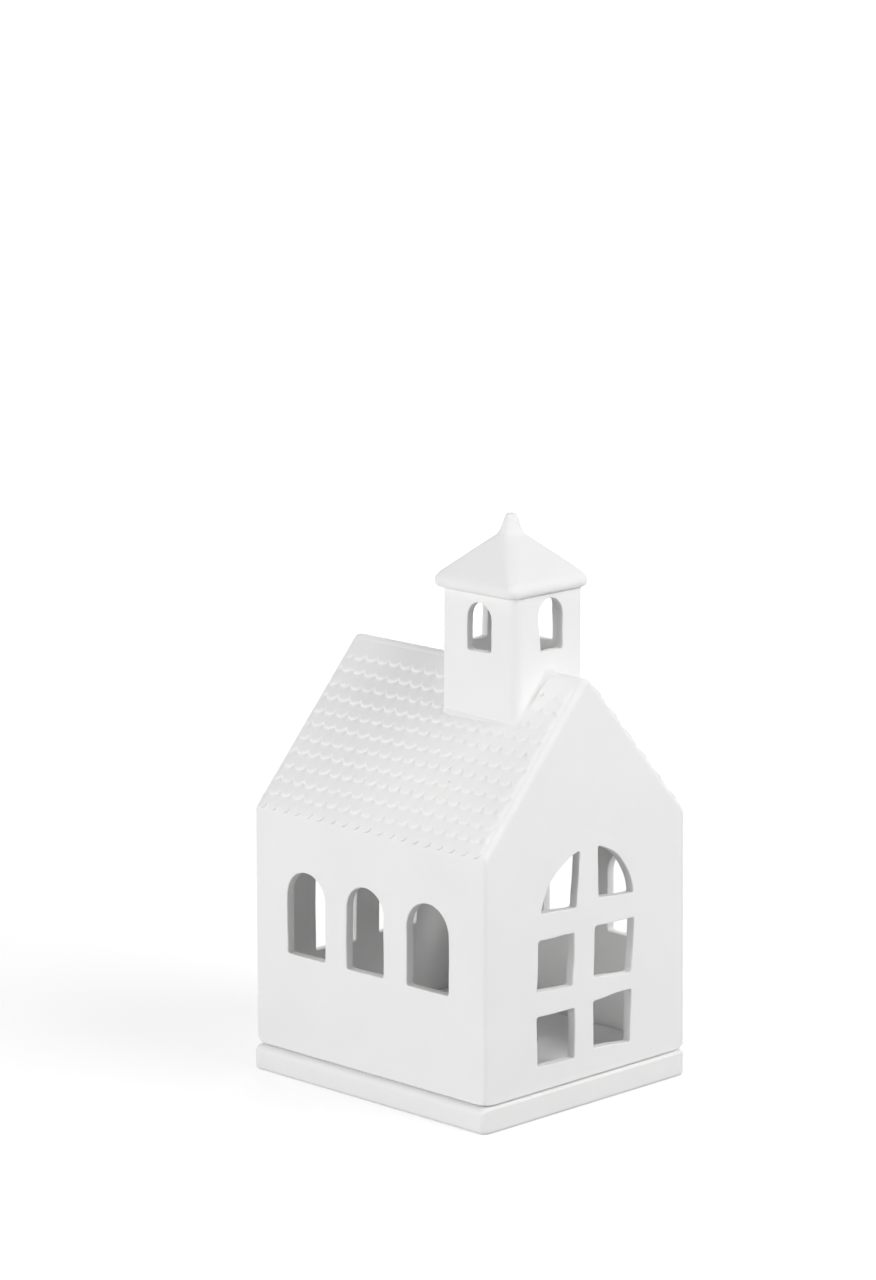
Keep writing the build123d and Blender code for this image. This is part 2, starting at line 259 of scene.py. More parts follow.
# Base
BASE_CORNER = 2.5
BASE_TOP_RADIUS = 0.8
BASE_LEFT_TOP_RADIUS = 2.2
BASE_BOTTOM_RADIUS = 1.2
PLATFORM_GAP = 0.45
PLATFORM_CORNER = 2.0
PLATFORM_EDGE = 0.35
PLATFORM_X = HALF_WIDTH - WALL - PLATFORM_GAP
PLATFORM_Y = HALF_DEPTH - WALL - PLATFORM_GAP
WELL_CLEARANCE = 0.4
WELL_RADIUS = CUP_HIGH.x + WELL_CLEARANCE
WELL_EDGE = 0.3
WELL_CORNER = 1.0
SHOULDER_STEPS = 6
SMALL_EDGE_STEPS = 5

# Tealight
AXIS_RADIUS = 0.05
WICK_LEVELS = 56
WICK_POINTS = 24
WICK_STRANDS = 3
WICK_TURNS = 9
STRAND_DEPTH = 0.14
# The squared share of the wick's radius that is left at its end, and how fast it grows below
WICK_END = 0.05
WICK_END_GROWTH = 14

# Colours, each as its darker and its paler shade
PORCELAIN_SHADES = ((0.885, 0.888, 0.882, 1), (0.905, 0.907, 0.902, 1))
ALUMINIUM_SHADES = ((0.83, 0.835, 0.84, 1), (0.9, 0.905, 0.91, 1))
TINPLATE_SHADES = ((0.68, 0.68, 0.67, 1), (0.76, 0.76, 0.75, 1))
WAX_SHADES = ((0.86, 0.85, 0.81, 1), (0.92, 0.915, 0.89, 1))
COTTON_SHADES = ((0.74, 0.72, 0.66, 1), (0.9, 0.88, 0.83, 1))
# Painted shade of the pinhole pits: the pits are real in porcelain, but here their darkness is only colour
PINHOLE_SHADE = (0.5, 0.49, 0.46, 1)
WHITE = (1, 1, 1, 1)

# Studio; its lengths are in metres
FLOOR_HALF = 30
FLOOR_GREY = 0.55
SEEN_FLOOR_GREY = 0.45
# How strongly the floor glows where it is seen, near the house and far from it, and at which distances
FLOOR_GLOW = (0.66, 1.0)
FLOOR_GLOW_REACH = (0.25, 1.0)
LAMP_SIZE = 0.8
LAMP_AIM = Vector((0, 0, 0.08))
CAMERA_PLACE = (-0.9563, -0.9327, 0.4037)
CAMERA_AZIMUTH = math.radians(-45.34)
CAMERA_TILT = math.radians(11.79)
CAMERA_REACH = 100
# Sensor and lens are in millimetres
SENSOR_WIDTH = 36
FOCAL_LENGTH = 137.94


# Outlines: closed lists of flat points, anticlockwise
def smooth(value):
    """0 to 1, easing in and out, for a value that goes from 0 to 1."""
    value = min(max(value, 0.0), 1.0)
    return value * value * (3 - 2 * value)


def bell(value, width):
    """1 at 0, falling away softly on both sides."""
    return math.exp(-(value / width) ** 2)


def quarter_turn(steps):
    """Angles from 0 to a right angle."""
    return [RIGHT_ANGLE * step / steps for step in range(steps + 1)]


def full_turn(steps):
    """Angles once round."""
    return [math.tau * step / steps for step in range(steps)]


def side_normals(corners, index):
    """The inward directions of the two sides that meet at a corner."""
    arriving = (corners[index] - corners[index - 1]).normalized()
    leaving = (corners[(index + 1) % len(corners)] - corners[index]).normalized()
    return Vector((-arriving.y, arriving.x)), Vector((-leaving.y, leaving.x))


def inset_corners(corners, insets):
    """The corners of a convex outline after each side has moved inwards by its own distance."""
    moved = []
    for index, corner in enumerate(corners):
        first, second = side_normals(corners, index)
        cosine = first.dot(second)
        before = insets[index - 1]
        after = insets[index]
        shift = first * (before - cosine * after) + second * (after - cosine * before)
        moved.append(corner + shift / (1 - cosine * cosine))
    return moved


def rounded_outline(corners, radii, insets, steps=6):
    """A convex outline with its sides moved inwards and every corner turned into an arc."""
    corners = inset_corners([Vector(corner) for corner in corners], insets)
    points = []
    for index, corner in enumerate(corners):
        radius = max(radii[index] - (insets[index - 1] + insets[index]) / 2, BARE_RADIUS)
        first, second = side_normals(corners, index)
        turn = first.angle(second)
        arriving = Vector((first.y, -first.x))
        centre = corner - arriving * radius * math.tan(turn / 2) + first * radius
        for step in range(steps + 1):
            angle = turn * step / steps
            points.append(centre - first * radius * math.cos(angle) + arriving * radius * math.sin(angle))
    return points


def rounded_rectangle(half_x, half_y, radius, steps=8, side_pieces=1):
    """A rectangle about the middle with rounded corners; a radius of half its side makes a circle."""
    arcs = []
    for corner, (side_x, side_y) in enumerate(((1, 1), (-1, 1), (-1, -1), (1, -1))):
        centre = Vector((side_x * (half_x - radius), side_y * (half_y - radius)))
        turns = [angle + corner * RIGHT_ANGLE for angle in quarter_turn(steps)]
        arcs.append([centre + Vector((math.cos(turn), math.sin(turn))) * radius for turn in turns])
    points = []
    for arc, following in zip(arcs, arcs[1:] + arcs[:1]):
        points += arc
        for piece in range(1, side_pieces):
            points.append(arc[-1].lerp(following[0], piece / side_pieces))
    return points


def resampled(outline, step):
    """The same outline, with points added wherever two are further apart than step."""
    points = []
    for start, end in zip(outline, outline[1:] + outline[:1]):
        pieces = max(1, math.ceil((end - start).length / step))
        for piece in range(pieces):
            points.append(start.lerp(end, piece / pieces))
    return points


def arc_side(start, end, bulge):
    """Points from start up to just before end, on an arc that stands out from its chord by bulge."""
    chord = end - start
    if not bulge:
        count = max(1, round(chord.length / CUT_STEP))
        return [start.lerp(end, step / count) for step in range(count)]
    along = chord.normalized()
    out = Vector((along.y, -along.x))
    radius = (chord.length_squared / 4 + bulge * bulge) / (2 * bulge)
    centre = (start + end) / 2 - out * (radius - bulge)
    half_turn = math.asin(min(1.0, chord.length / (2 * radius)))
    count = max(2, round(2 * half_turn * radius / CUT_STEP))
    points = []
    for step in range(count):
        angle = half_turn * (2 * step / count - 1)
        points.append(centre + (out * math.cos(angle) + along * math.sin(angle)) * radius)
    return points


def outward_normals(outline):
    """The outward direction at each point of an outline."""
    normals = []
    for before, after in zip(outline[-1:] + outline[:-1], outline[1:] + outline[:1]):
        along = (after - before).normalized()
        normals.append(Vector((along.y, -along.x)))
    return normals


def grown(outline, distance):
    """The outline moved outwards by a distance."""
    return [point + normal * distance for point, normal in zip(outline, outward_normals(outline))]


def softened(outline, passes):
    """The outline with its corners worn round."""
    for _ in range(passes):
        before = outline[-1:] + outline[:-1]
        after = outline[1:] + outline[:1]
        outline = [point / 2 + (a + b) / 4 for point, a, b in zip(outline, before, after)]
    return outline


def hand_cut(corners, bulges):
    """The outline of an opening cut by hand: straight or arched sides, worn corners, slow unevenness."""
    corners = [Vector(corner) for corner in corners]
    outline = []
    for start, end, bulge in zip(corners, corners[1:] + corners[:1], bulges):
        outline.extend(arc_side(start, end, bulge))
    outline = softened(outline, SOFTEN_PASSES)
    waves = []
    for cycles in CUT_WAVES:
        size = rng.uniform(*CUT_WOBBLE_SHARES) * CUT_WOBBLE
        waves.append((cycles, size, rng.uniform(0, math.tau)))
    cut = []
    for index, (point, normal) in enumerate(zip(outline, outward_normals(outline))):
        turn = math.tau * index / len(outline)
        uneven = sum(size * math.sin(cycles * turn + phase) for cycles, size, phase in waves)
        cut.append(point + normal * uneven)
    return cut


def arched(centre, width, sill, top, toe=0.0):
    """Corners and bulges of a window with a half-round top; toe draws its first lower corner in."""
    left = centre - width / 2
    right = centre + width / 2
    spring = top - width / 2
    return ((left + toe, sill), (right, sill), (right, spring), (left, spring)), (0, 0, width / 2, 0)


# Meshes
def finished(name, mesh):
    """Makes an object of a closed mesh, with double points merged and every face turned outwards."""
    bmesh.ops.remove_doubles(mesh, verts=mesh.verts, dist=SAME_PLACE)
    bmesh.ops.recalc_face_normals(mesh, faces=mesh.faces)
    data = bpy.data.meshes.new(name)
    mesh.to_mesh(data)
    mesh.free()
    made = bpy.data.objects.new(name, data)
    bpy.context.scene.collection.objects.link(made)
    return made


def loft(name, rings, joined=False):
    """A closed mesh through rings of equally many points, capped at its ends or joined end to end."""
    mesh = bmesh.new()
    rows = [[mesh.verts.new(point * MM) for point in ring] for ring in rings]
    pairs = list(zip(rows, rows[1:]))
    if joined:
        pairs.append((rows[-1], rows[0]))
    for low, high in pairs:
        for corners in zip(low, low[1:] + low[:1], high[1:] + high[:1], high):
            mesh.faces.new(corners)
    if not joined:
        mesh.faces.new(rows[0])
        mesh.faces.new(rows[-1])
    return finished(name, mesh)


def combine(target, tools, operation):
    """Joins or cuts a closed mesh with others, which are used up."""
    for tool in tools:
        change = target.modifiers.new("combine", "BOOLEAN")
        change.operation = operation
        change.solver = "MANIFOLD"
        change.object = tool
    depsgraph = bpy.context.evaluated_depsgraph_get()
    data = bpy.data.meshes.new_from_object(target.evaluated_get(depsgraph))
    target.modifiers.clear()
    target.data = data
    for tool in tools:
        bpy.data.objects.remove(tool)


def flat_ring(outline, height, shift_y=0.0):
    """An outline laid flat at a height over the table."""
    return [Vector((point.x, point.y + shift_y, height)) for point in outline]


def shade(piece, material, sharp_from=50):
    """Smooth shading that keeps flat faces flat and sharp edges sharp, and the piece's material."""
    piece.data.shade_smooth()
    piece.data.set_sharp_from_angle(angle=math.radians(sharp_from))
    normals = piece.modifiers.new("even_shading", "WEIGHTED_NORMAL")
    normals.keep_sharp = True
    piece.data.materials.clear()
    piece.data.materials.append(material)


# House body
def edge_inset(radius, distance):
    """How far a rounded edge has drawn a face in, at a distance from the end that it rounds."""
    if distance >= radius:
        return 0.0
    share = (1 - distance / radius) ** EDGE_SQUARENESS
    return radius * (1 - (1 - share) ** (1 / EDGE_SQUARENESS))


def gable_prism(name, corners, radii, half_depth, front_radii, back_radii):
    """A prism along Y with a gable's outline, whose sides each have a rounded edge at both ends."""
    stations = []
    for end, end_radii in ((-1, front_radii), (1, back_radii)):
        largest = max(end_radii)
        distances = [largest * (1 - math.cos(angle)) ** EDGE_CROWDING for angle in quarter_turn(EDGE_STEPS)]
        for distance in distances[::-end]:
            stations.append((end * (half_depth - distance), distance, end_radii))
    rings = []
    for y, distance, end_radii in stations:
        insets = [edge_inset(radius, distance) for radius in end_radii]
        outline = rounded_outline(corners, radii, insets)
        rings.append([Vector((point.x, y, FOOT + point.y)) for point in outline])
    return loft(name, rings)


def house_block():
    """The house as a solid block, from the rim of the base up to the ridge."""
    low = BASE_RIM - FOOT
    corners = ((-HALF_WIDTH, low), (HALF_WIDTH, low), (HALF_WIDTH, EAVE), (0, RIDGE), (-HALF_WIDTH, EAVE))
    radii = (BARE_RADIUS, BARE_RADIUS, EAVE_RADIUS, RIDGE_RADIUS, EAVE_RADIUS)
    front_radii = (BARE_RADIUS, CORNER_RADIUS, RAKE_RADIUS, RAKE_RADIUS, CORNER_RADIUS)
    back_radii = (BARE_RADIUS, CORNER_RADIUS, BACK_RAKE_RADIUS, BACK_RAKE_RADIUS, CORNER_RADIUS)
    return gable_prism("chapel_body", corners, radii, HALF_DEPTH, front_radii, back_radii)


def house_cavity():
    """The room inside, up to the roof."""
    half = HALF_WIDTH - WALL
    ridge = RIDGE - WALL / math.cos(PITCH)
    eave = ridge - half * math.tan(PITCH)
    corners = ((-half, -CAVITY_SINK), (half, -CAVITY_SINK), (half, eave), (0, ridge), (-half, eave))
    radii = (BARE_RADIUS, BARE_RADIUS, INSIDE_RADIUS, INSIDE_RADIUS, INSIDE_RADIUS)
    end_radii = (BARE_RADIUS, INSIDE_RADIUS, INSIDE_RADIUS, INSIDE_RADIUS, INSIDE_RADIUS)
    return gable_prism("cavity", corners, radii, HALF_DEPTH - WALL, end_radii, end_radii)


def foot_wear(point):
    """How much the foot is worn at a place round the house, as a share of the usual wear."""
    corner = SQUARE.index((math.copysign(1, point.x), math.copysign(1, point.y)))
    distance = max(HALF_WIDTH - abs(point.x), HALF_DEPTH - abs(point.y))
    at_corner = CORNER_WEAR[corner] * bell(distance, CORNER_WEAR_REACH)
    at_left = LEFT_WEAR * smooth(1 - (HALF_WIDTH + point.x) / LEFT_WEAR_REACH)
    return 1 + max(at_corner, at_left)


def foot_ring(inset, corner_radius, height):
    """A ring round the foot of the walls, higher where the foot is more worn."""
    half_x = HALF_WIDTH - inset
    half_y = HALF_DEPTH - inset
    outline = rounded_rectangle(half_x, half_y, corner_radius, side_pieces=SIDE_PIECES)
    return [Vector((point.x, point.y, BASE_RIM + height * foot_wear(point))) for point in outline]


def foot_cutter():
    """A cutter round the foot of the walls that leaves a fine dark gap over the base."""
    _, face_corner, face_height = FOOT_WEAR[0]
    inner, inner_corner, _ = FOOT_WEAR[-1]
    outer_corner = face_corner + FOOT_CUT_OUTSIDE
    rings = [foot_ring(-FOOT_CUT_OUTSIDE, outer_corner, height) for height in (-FOOT_CUT_UNDER, face_height)]
    rings += [foot_ring(*wear) for wear in FOOT_WEAR]
    rings.append(foot_ring(inner, inner_corner, -FOOT_CUT_UNDER))
    return loft("foot_cutter", rings, joined=True)


# Roof tiles
def slope_point(side, along, down, lift):
    """A place on a roof slope: along the ridge, down from it and round the eave, lifted off the surface."""
    past = down - EAVE_START
    turned = min(max(past / EAVE_RADIUS, 0), EAVE_TURN)
    rest = past - EAVE_RADIUS * turned
    heading = PITCH + turned
    reach = EAVE_RADIUS + lift
    centre_out = HALF_WIDTH - EAVE_RADIUS
    centre_up = RIDGE - EAVE_START * math.sin(PITCH) - EAVE_RADIUS * math.cos(PITCH)
    out = centre_out + reach * math.sin(heading) + rest * math.cos(heading)
    height = centre_up + reach * math.cos(heading) - rest * math.sin(heading)
    return Vector((side * out, along, FOOT + height))


def tile_fade(side, along, down):
    """1 on the open roof, 0 at the rakes, under the tower and just in front of it."""
    border, rise = RIGHT_FRONT_BORDER if side > 0 and along < 0 else RAKE_BORDER
    rake = (HALF_DEPTH - border - abs(along)) / rise
    beside = down * math.cos(PITCH) - TOWER_HALF_X
    behind = along - TOWER_Y - TOWER_HALF_Y
    before = TOWER_Y - along - TOWER_HALF_Y - TOWER_CLEARANCE
    tower = max(beside, behind, before) / TOWER_FADE
    return smooth(min(rake, tower))


class Course:
    """One row of tiles: where its lips lie and how high its faces stand."""

    def __init__(self, number, shifts):
        share = number / (COURSES - 1)
        first_shift, last_shift = shifts
        self.tip = FIRST_TIP + number * COURSE_PITCH
        shift = first_shift + (last_shift - first_shift) * share
        self.start = shift - TILE_HALF - TILE_WIDTH / 2 * (number % 2)
        self.tips = [rng.uniform(-TIP_JITTER, TIP_JITTER) for _ in range(TILES + SPARE_TILES)]
        jitters = [rng.uniform(-LIP_JITTER, LIP_JITTER) for _ in range(TILES + SPARE_TILES)]
        self.lips = [TILE_LIP * (1 + jitter) for jitter in jitters]
        self.wave = rng.uniform(0, math.tau)
        self.last = number == COURSES - 1
        if self.last:
            self.lips = [lip * EAVE_LIP_SHARE for lip in self.lips]

    def across(self, along):
        """How far across its tile a place along the ridge is, from -1 to 1."""
        position = (along - self.start) / TILE_WIDTH
        return 2 * (position - math.floor(position)) - 1

    def between(self, values, along):
        """A tile's own value at its middle, running over to its neighbour's."""
        first_middle = SPARE_TILES / 2 - 0.5
        position = (along - self.start) / TILE_WIDTH + first_middle
        index = math.floor(position)
        return values[index] + (values[index + 1] - values[index]) * (position - index)

    def lip_line(self, along):
        """How far down the slope the lip lies: lowest at a tile's middle, highest between two tiles."""
        across = self.across(along)
        drop = TILE_ROUND * (1 - math.sqrt(1 - TILE_ARC * across * across)) / (1 - math.sqrt(1 - TILE_ARC))
        wave = COURSE_WAVE * math.sin(math.tau * along / WAVE_LENGTH + self.wave)
        uneven = 0 if self.last else self.between(self.tips, along) + wave
        return self.tip + uneven - drop

    def face(self, along, down):
        """Height of a tile's face over the roof plane."""
        lip = self.between(self.lips, along)
        rise = lip * (1 - (self.tip - down) / TILE_TAPER)
        return TILE_BED + rise - TILE_CROWN * self.across(along) ** 2

    def pit(self, along, past_lip):
        """How deep the hollow is that the tool left between two tiles."""
        to_joint = (1 - abs(self.across(along))) * TILE_WIDTH / 2
        return PIT_DEPTH * bell(to_joint, PIT_WIDTH) * bell(past_lip - PIT_PLACE, PIT_WIDTH)


def tile_rows(courses, along):
    """Distances down the slope and heights of the tile surface, for one place along the ridge."""
    rows = [(TILE_START, -TILE_SINK), (TILE_START + TILE_START_RISE, 0.0)]
    start = rows[-1][0]
    for number, course in enumerate(courses):
        line = course.lip_line(along)
        for share in FACE_ROWS:
            down = start + (line + LIP_PROFILE[0][0] - start) * share
            rows.append((down, course.face(along, down)))
        sharpness = EAVE_SHARPNESS if course.last else 1.0
        for offset, left in LIP_PROFILE:
            down = line + offset * sharpness
            if course.last:
                below = -EAVE_SINK
            else:
                below = courses[number + 1].face(along, down) - course.pit(along, offset)
            rows.append((down, below + left * (course.face(along, min(down, line)) - below)))
        start = line + LIP_PROFILE[-1][0]
    return rows


def sheet_edge(columns):
    """What lies round the edge of a grid of columns, in order."""
    low_side = [column[-1] for column in columns[1:-1]]
    high_side = [column[0] for column in columns[-2:0:-1]]
    return columns[0] + low_side + columns[-1][::-1] + high_side


def tile_places(side, shifts):
    """Columns of places over one slope's tiles: along the ridge, down from it, lifted off the surface."""
    courses = [Course(number, shifts) for number in range(COURSES)]
    count = TILES * COLUMNS_PER_TILE
    places = []
    for index in range(count + 1):
        along = TILE_HALF * (2 * index / count - 1)
        drawn_in = edge_inset(RAKE_RADIUS, HALF_DEPTH - abs(along))
        column = []
        for down, height in tile_rows(courses, along):
            lift = tile_fade(side, along, down) * (height + TILE_SINK) - TILE_SINK - drawn_in
            column.append((along, down, lift))
        places.append(column)
    return places


def tile_sheet(name, side, shifts):
    """The tiles of one slope as a thin closed sheet that sinks into the roof."""
    places = tile_places(side, shifts)
    mesh = bmesh.new()
    columns = [[mesh.verts.new(slope_point(side, *place) * MM) for place in column] for column in places]
    for left, right in zip(columns, columns[1:]):
        for corners in zip(left, left[1:], right[1:], right):
            mesh.faces.new(corners)
    rim = sheet_edge(columns)
    under = []
    for along, down, _ in sheet_edge(places):
        under.append(mesh.verts.new(slope_point(side, along, down, -TILE_UNDERSIDE) * MM))
    for corners in zip(rim, rim[1:] + rim[:1], under[1:] + under[:1], under):
        mesh.faces.new(corners)
    mesh.faces.new(under)
    return finished(name, mesh)


# Openings
def opening_edge(radius):
    """Depths behind a face, and how far an opening grows there, so that its edge comes out rounded."""
    steps = []
    for step in range(OPENING_STEPS + 1):
        angle = OPENING_STEEPEST * (1 - step / OPENING_STEPS)
        steps.append((radius * (1 - math.sin(angle)), radius * (1 - math.cos(angle))))
    depth, growth = steps[0]
    return [(-FLANGE, growth + (FLANGE + depth) * math.tan(OPENING_STEEPEST))] + steps


def wall_place(face, reach, centre=0.0):
    """A function from a point on a wall, as along and up, and a depth into it, to a place in the frame."""
    side = -1 if face in ("left", "front") else 1

    def place(point, depth):
        out = side * (reach - depth)
        height = FOOT + point.y
        if face in ("left", "right"):
            return Vector((out, centre + point.x, height))
        return Vector((point.x, centre + out, height))
    return place


def window_cutter(corners, bulges, place, wall):
    """A closed cutter for one opening through a wall, flared at both faces."""
    outline = hand_cut(corners, bulges)
    inside = [(wall - depth, growth) for depth, growth in opening_edge(OPENING_INNER_RADIUS)]
    rings = []
    for depth, growth in opening_edge(OPENING_OUTER_RADIUS) + inside[::-1]:
        rings.append([place(point, depth) for point in grown(outline, growth)])
    return loft("window_cutter", rings)


def house_windows():
    """Cutters for all the openings in the four walls."""
    cutters = []
    for face, windows in (("left", LEFT_WINDOWS), ("right", RIGHT_WINDOWS)):
        for window in windows:
            corners, bulges = arched(*window)
            cutters.append(window_cutter(corners, bulges, wall_place(face, HALF_WIDTH), WALL))
    for face, panes in (("front", FRONT_PANES), ("back", BACK_LIGHTS)):
        for corners, bulges in panes:
            cutters.append(window_cutter(corners, bulges, wall_place(face, HALF_DEPTH), WALL))
    return cutters


def vent_cutter():
    """The opening from the roof space up into the tower."""
    outline = rounded_rectangle(VENT_HALF, VENT_HALF, VENT_CORNER)
    low = TOWER_LOW.z - 2 * WALL
    return loft("vent_cutter", [flat_ring(outline, low, TOWER_Y), flat_ring(outline, TOWER_TOP, TOWER_Y)])


def lean_right_wall(body):
    """Lets the right wall lean out a little towards its foot, less and less from the wall to half way in."""
    for vertex in body.data.vertices:
        outer = smooth(2 * vertex.co.x / MM / HALF_WIDTH - 1)
        low = smooth(1 - (vertex.co.z / MM - FOOT) / EAVE)
        vertex.co.x += RIGHT_WALL_LEAN * outer * low * MM


def chapel_body(material):
    """The house: walls, tiled roof and openings."""
    body = house_block()
    sheets = [tile_sheet("tiles_left", -1, LEFT_SHIFT), tile_sheet("tiles_right", 1, RIGHT_SHIFT)]
    combine(body, sheets, "UNION")
    cutters = [house_cavity(), vent_cutter(), foot_cutter(), groove_cutter()]
    combine(body, cutters + house_windows(), "DIFFERENCE")
    lean_right_wall(body)
    shade(body, material)
    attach(body, "house")
    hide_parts("house_shell")


# Tower
def roof_height(x):
    """Height of the roof over the table, softened at the ridge."""
    return FOOT + RIDGE - math.tan(PITCH) * math.hypot(x, RIDGE_RADIUS / 2)


def front_foot_width(x):
    """How far the slip reaches out in front of the tower, most at the ridge."""
    return FRONT_FOOT_WIDTH + FRONT_FOOT_AT_RIDGE * bell(x, FRONT_FOOT_SPREAD)


def tower_foot(outline, row):
    """A row of the slip at the tower's foot, from its toe on the roof up to the wall."""
    side_rise, side_share = SIDE_FOOT[row]
    bead = Vector(FRONT_BEAD[row])
    fillet = Vector(FRONT_FILLET[row])
    ring = []
    for point, normal in zip(outline, outward_normals(outline)):
        front = max(0.0, -normal.y) ** 2
        front_over, front_share = fillet.lerp(bead, bell(point.x, FRONT_BEAD_SPREAD))
        side_over = side_rise * (SIDE_FOOT_RISE + SIDE_FOOT_LEAN * point.y / TOWER_HALF_Y)
        side_width = SIDE_FOOT_WIDTH * smooth((TOWER_HALF_Y - point.y) / SIDE_FOOT_FADE)
        width = side_width * side_share * (1 - front) + front_foot_width(point.x) * front_share * front
        over = side_over + (front_over - side_over) * front
        place = point + normal * width
        ring.append(Vector((place.x, place.y + TOWER_Y, roof_height(place.x) + over)))
    return ring


def groove_cutter():
    """The groove that the tool left between the slip in front of the tower and the roof."""
    rings = []
    for step in range(GROOVE_STEPS + 1):
        x = GROOVE_HALF * (2 * step / GROOVE_STEPS - 1)
        radius = GROOVE_RADIUS * math.sqrt(max(GROOVE_END, 1 - (x / GROOVE_HALF) ** 2))
        middle = Vector((x, TOWER_Y - TOWER_HALF_Y - front_foot_width(x), roof_height(x)))
        spokes = [Vector((0, math.cos(turn), math.sin(turn))) for turn in full_turn(GROOVE_POINTS)]
        rings.append([middle + spoke * radius for spoke in spokes])
    return loft("groove_cutter", rings)


def tower_tube():
    """The tower's walls as a closed tube whose foot follows the roof."""
    corners = [Vector((x * TOWER_HALF_X, y * TOWER_HALF_Y)) for x, y in SQUARE]
    radii = (TOWER_SOFT_EDGE_RADIUS, TOWER_EDGE_RADIUS, TOWER_EDGE_RADIUS, TOWER_EDGE_RADIUS)
    outer = resampled(rounded_outline(corners, radii, NO_INSETS), TOWER_STEP)
    narrower = 1 - TOWER_WALL / TOWER_HALF_X
    shallower = 1 - TOWER_WALL / TOWER_HALF_Y
    inner = [Vector((point.x * narrower, point.y * shallower)) for point in outer]
    rings = [tower_foot(outer, row) for row in range(len(SIDE_FOOT))]
    rings.append(flat_ring(outer, TOWER_TOP, TOWER_Y))
    rings.append(flat_ring(inner, TOWER_TOP, TOWER_Y))
    sunk = FRONT_BEAD[0][0]
    rings.append([Vector((point.x, point.y + TOWER_Y, roof_height(point.x) + sunk)) for point in inner])
    return loft("tower_body", rings, joined=True)


def tower_body(material):
    """The tower with a window in each wall."""
    tower = tower_tube()
    reaches = {"left": TOWER_HALF_X, "right": TOWER_HALF_X, "front": TOWER_HALF_Y, "back": TOWER_HALF_Y}
    cutters = []
    for face, *window in TOWER_WINDOWS:
        corners, bulges = arched(*window)
        cutters.append(window_cutter(corners, bulges, wall_place(face, reaches[face], TOWER_Y), TOWER_WALL))
    combine(tower, cutters, "DIFFERENCE")
    shade(tower, material)
    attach(tower, "house")
    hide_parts("bell_tower")


def cap_profile():
    """Half width, corner radius and height over the seat of the cap's rings, from its hollow to its tip."""
    tip = CAP_HIGH.z - CAP_LOW.z
    apex = CAP_LIP + CAP_HALF * math.tan(CAP_PITCH)
    hollow_apex = CAP_HOLLOW_HALF * math.tan(CAP_PITCH)

    def slope(height, radius):
        return ((apex - height) / math.tan(CAP_PITCH), radius, height)

    hollow = (
        (BARE_RADIUS, BARE_RADIUS, hollow_apex - 0.2),
        (CAP_HOLLOW_HALF, 1.0, 0.6), (CAP_HOLLOW_HALF, 1.0, 0.0),
    )
    eave = (
        (13.5, 1.3, 0.0), (14.2, 1.6, 0.15), (14.8, 1.9, 0.42), (15.22, 2.1, 0.82), (15.5, 2.3, 1.35),
        (CAP_HALF, 2.4, 1.95), (CAP_HALF, 2.4, 2.45), (15.5, 2.4, 3.0), (15.28, 2.4, 3.5),
    )
    sides = (
        (14.98, 2.4, 3.98), slope(4.7, 2.3), slope(5.6, 2.2),
        slope(8.8, 2.0), slope(12.4, 2.0), slope(14.4, 2.1),
    )
    finial = (
        (3.4, 2.15, 15.05), (3.05, 2.05, 15.6), (2.65, 1.95, 16.75), (2.15, 1.75, 18.4), (1.85, 1.65, 19.5),
        (1.68, 1.6, 20.2), (1.4, 1.38, 20.62), (0.85, 0.85, tip - 0.1), (BARE_RADIUS, BARE_RADIUS, tip),
    )
    return hollow + eave + sides + finial


def tower_roof(material):
    """The tower's cap with its rounded eave and its finial."""
    rings = []
    for half, radius, height in cap_profile():
        corners = [CAP_MIDDLE + Vector(corner) * half for corner in SQUARE]
        softer = 1 + (CAP_SOFT_HIP - 1) * smooth((height - CAP_LIP) / CAP_HIP_RISE)
        radii = (min(radius * softer, half), radius, radius, radius)
        outline = rounded_outline(corners, radii, NO_INSETS, CAP_CORNER_STEPS)
        rings.append(flat_ring(outline, CAP_LOW.z + height))
    cap = loft("tower_roof", rings)
    shade(cap, material)
    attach(cap, "house")
    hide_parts("tower_cap")


# Base
def rounded_step(radius):
    """Insets and drops of a rounded edge, from its upright face to its flat one."""
    angles = quarter_turn(SMALL_EDGE_STEPS)
    return [(radius * (1 - math.cos(angle)), radius * (1 - math.sin(angle))) for angle in angles]


def slab_ring(inset, height):
    """A ring of the slab's lower edge."""
    outline = rounded_rectangle(BASE_HIGH.x - inset, BASE_HIGH.y - inset, BASE_CORNER - inset)
    return flat_ring(outline, height)


def shoulder_ring(angle):
    """A ring of the slab's upper edge, which is worn rounder at the left side and its back corner."""
    ring = []
    outline = rounded_rectangle(BASE_HIGH.x, BASE_HIGH.y, BASE_CORNER)
    for point, normal in zip(outline, outward_normals(outline)):
        left = smooth(-point.x / BASE_HIGH.x) if point.y > 0 else max(0.0, -normal.x) ** 2
        radius = BASE_TOP_RADIUS + (BASE_LEFT_TOP_RADIUS - BASE_TOP_RADIUS) * left
        place = point - normal * radius * (1 - math.cos(angle))
        ring.append(Vector((place.x, place.y, BASE_RIM - radius * (1 - math.sin(angle)))))
    return ring


def platform_ring(inset, height):
    """A ring of the platform that keeps the house in its place."""
    outline = rounded_rectangle(PLATFORM_X - inset, PLATFORM_Y - inset, PLATFORM_CORNER - inset)
    return flat_ring(outline, height)


def well_ring(inset, height):
    """A ring of the tealight's well."""
    radius = WELL_RADIUS - inset
    return flat_ring(rounded_rectangle(radius, radius, radius), height)


